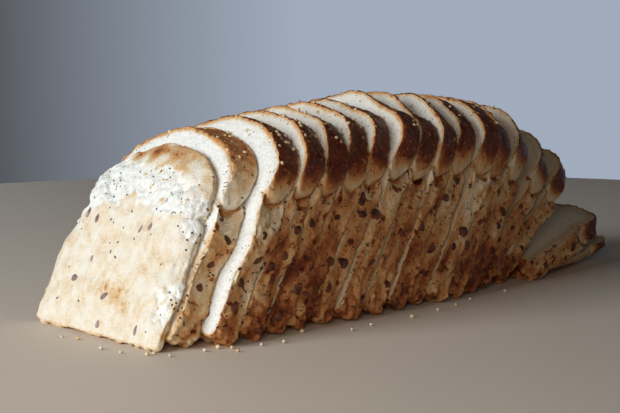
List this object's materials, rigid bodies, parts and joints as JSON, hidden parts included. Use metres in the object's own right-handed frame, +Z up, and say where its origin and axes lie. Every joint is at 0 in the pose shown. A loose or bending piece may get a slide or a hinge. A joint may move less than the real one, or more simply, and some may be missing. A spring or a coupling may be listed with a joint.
{
  "type": "sliced seeded bread loaf",
  "caption": "Sliced tin loaf with a domed crust and big seeds: the slices lean back in a row from the front heel, and the last ones lie slumped behind it.",
  "frame": {"origin": "middle of the box round the whole loaf, on the surface that it stands on", "axes": "+X along the row, from the front heel to the slumped back heel; -Y toward the long side that the picture shows; +Z up"},
  "size_m": [0.3606, 0.1108, 0.1065],
  "materials": {
    "bread_01": "matte",
    "bread_02": "matte",
    "bread_03": "matte",
    "bread_04": "matte",
    "bread_05": "matte",
    "bread_06": "matte",
    "bread_07": "matte",
    "bread_08": "matte",
    "bread_09": "matte",
    "bread_10": "matte",
    "bread_11": "matte",
    "bread_12": "matte",
    "bread_13": "matte",
    "bread_14": "matte",
    "bread_15": "matte",
    "bread_16": "matte",
    "bread_17": "matte",
    "bread_18": "matte"
  },
  "bodies": {
    "root": {"slice_01": "bread_01", "slice_02": "bread_02", "slice_03": "bread_03", "slice_04": "bread_04", "slice_05": "bread_05", "slice_06": "bread_06", "slice_07": "bread_07", "slice_08": "bread_08", "slice_09": "bread_09", "slice_10": "bread_10", "slice_11": "bread_11", "slice_12": "bread_12", "slice_13": "bread_13", "slice_14": "bread_14", "slice_15": "bread_15", "slice_16": "bread_16", "slice_17": "bread_17", "slice_18": "bread_18"}
  },
  "joints": []
}
